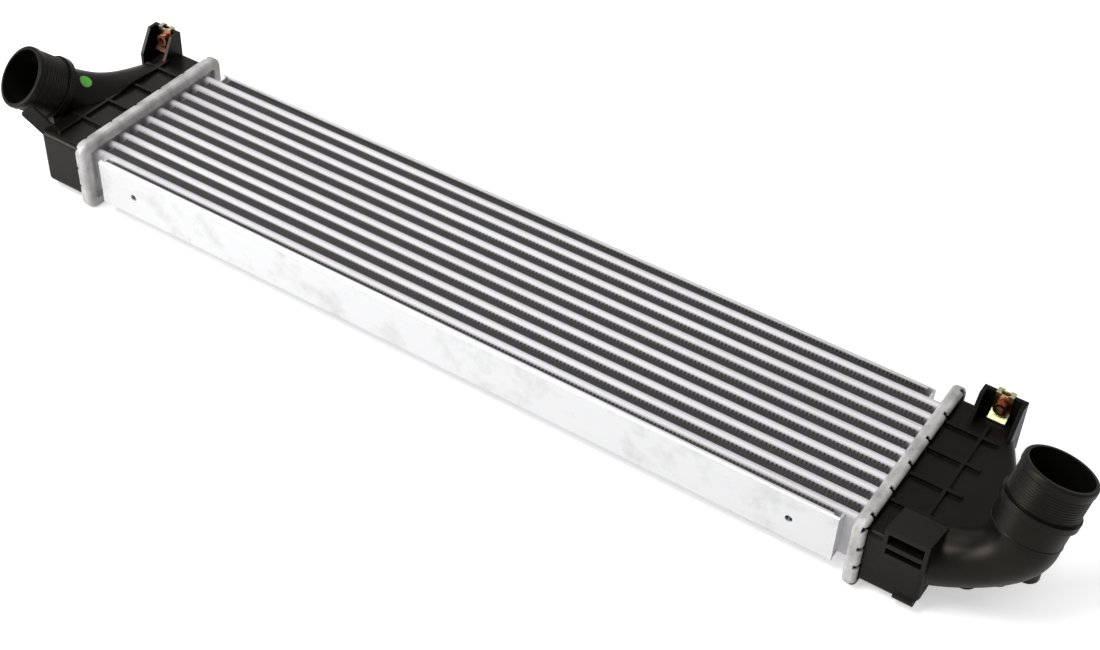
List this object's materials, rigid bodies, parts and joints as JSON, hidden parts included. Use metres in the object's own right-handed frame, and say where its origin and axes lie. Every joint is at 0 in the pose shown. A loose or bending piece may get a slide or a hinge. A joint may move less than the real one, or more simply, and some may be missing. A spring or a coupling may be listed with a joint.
{
  "type": "tube and fin charge air cooler",
  "caption": "Flat air-to-air charge cooler: a tube-and-fin core with crimped headers between two moulded end tanks, each with a turned hose stub.",
  "frame": {"origin": "centre of the tube-and-fin core, half way between the two headers and through its depth", "axes": "+X along the core towards the tank with the upright stub, +Y across the tubes towards the side with the ears, +Z through the core's depth towards the side the stubs rise from"},
  "size_m": [0.903, 0.1624, 0.1277],
  "materials": {
    "core_aluminium": "satin",
    "inner_aluminium": "satin",
    "fin_aluminium": "satin",
    "side_plate_aluminium": "satin",
    "header_aluminium": "satin",
    "gasket_rubber": "matte",
    "tank_plastic": "satin",
    "zinc_plated_steel": "satin"
  },
  "bodies": {
    "root": {"tube_01": "core_aluminium", "tube_02": "core_aluminium", "tube_03": "core_aluminium", "tube_04": "core_aluminium", "tube_05": "core_aluminium", "tube_06": "core_aluminium", "tube_07": "core_aluminium", "tube_08": "core_aluminium", "tube_09": "core_aluminium", "tube_10": "core_aluminium", "turbulator_01": "inner_aluminium", "turbulator_02": "inner_aluminium", "turbulator_03": "inner_aluminium", "turbulator_04": "inner_aluminium", "turbulator_05": "inner_aluminium", "turbulator_06": "inner_aluminium", "turbulator_07": "inner_aluminium", "turbulator_08": "inner_aluminium", "turbulator_09": "inner_aluminium", "turbulator_10": "inner_aluminium", "fin_01": "fin_aluminium", "fin_02": "fin_aluminium", "fin_03": "fin_aluminium", "fin_04": "fin_aluminium", "fin_05": "fin_aluminium", "fin_06": "fin_aluminium", "fin_07": "fin_aluminium", "fin_08": "fin_aluminium", "fin_09": "fin_aluminium", "fin_10": "fin_aluminium", "fin_11": "fin_aluminium", "side_plate_front": "side_plate_aluminium", "side_plate_rear": "side_plate_aluminium", "header_left": "header_aluminium", "header_right": "header_aluminium", "gasket_left": "gasket_rubber", "gasket_right": "gasket_rubber", "tank_left": "tank_plastic", "tank_right": "tank_plastic", "spring_nut_left": "zinc_plated_steel", "spring_nut_right": "zinc_plated_steel"}
  },
  "joints": []
}
